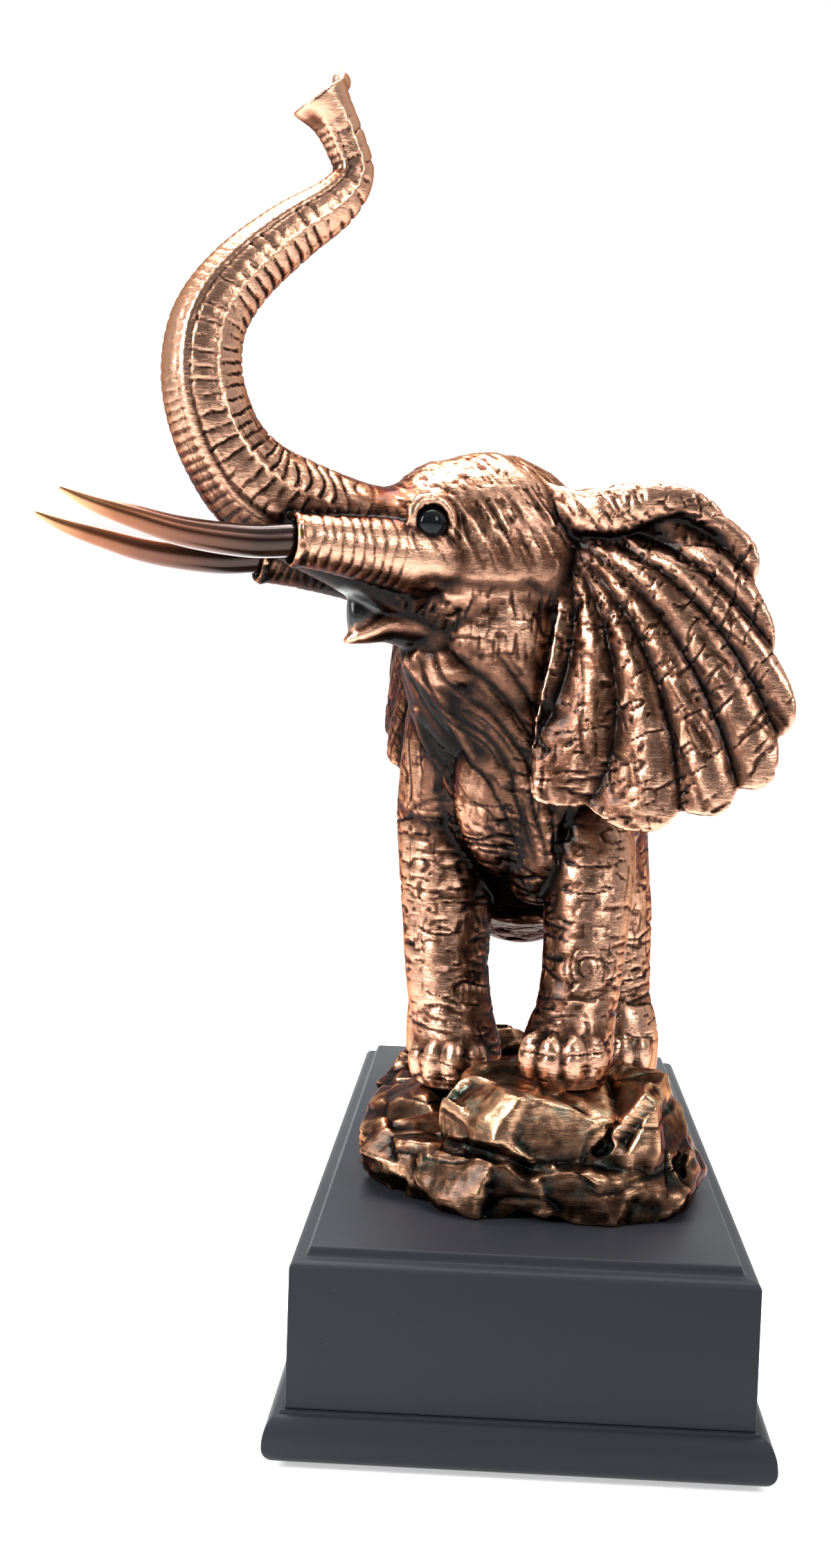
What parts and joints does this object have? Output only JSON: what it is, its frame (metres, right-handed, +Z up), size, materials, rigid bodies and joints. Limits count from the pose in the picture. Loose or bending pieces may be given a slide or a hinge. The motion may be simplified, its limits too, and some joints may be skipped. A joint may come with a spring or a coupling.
{
  "type": "elephant figurine",
  "caption": "Bronze-finish elephant walking over rocks with its trunk raised, long curved tusks and spread fluted ears, on a black moulded rectangular plinth.",
  "frame": {"origin": "centre of the plinth's underside, where the felt meets the table", "axes": "+Z up, +Y along the plinth from the elephant's chest to its tail, +X across the plinth on the elephant's left side"},
  "size_m": [0.2463, 0.3304, 0.4313],
  "materials": {
    "bronze": "copper-bronze electroplate, polished on the high places and dark brown in the hollows, lacquered",
    "rock_bronze": "the same plated bronze, darker, with a little green in the crevices",
    "tusk_copper": "smooth satin copper, dark brown at the sheath and light at the tip",
    "plinth": "satin black lacquer on shaped board",
    "felt": "thin black felt"
  },
  "bodies": {
    "root": {"base_pad": "felt", "plinth_base": "plinth", "plinth_block": "plinth", "rock_base": "rock_bronze", "elephant": "bronze", "tusk_left": "tusk_copper", "tusk_right": "tusk_copper"}
  },
  "joints": []
}
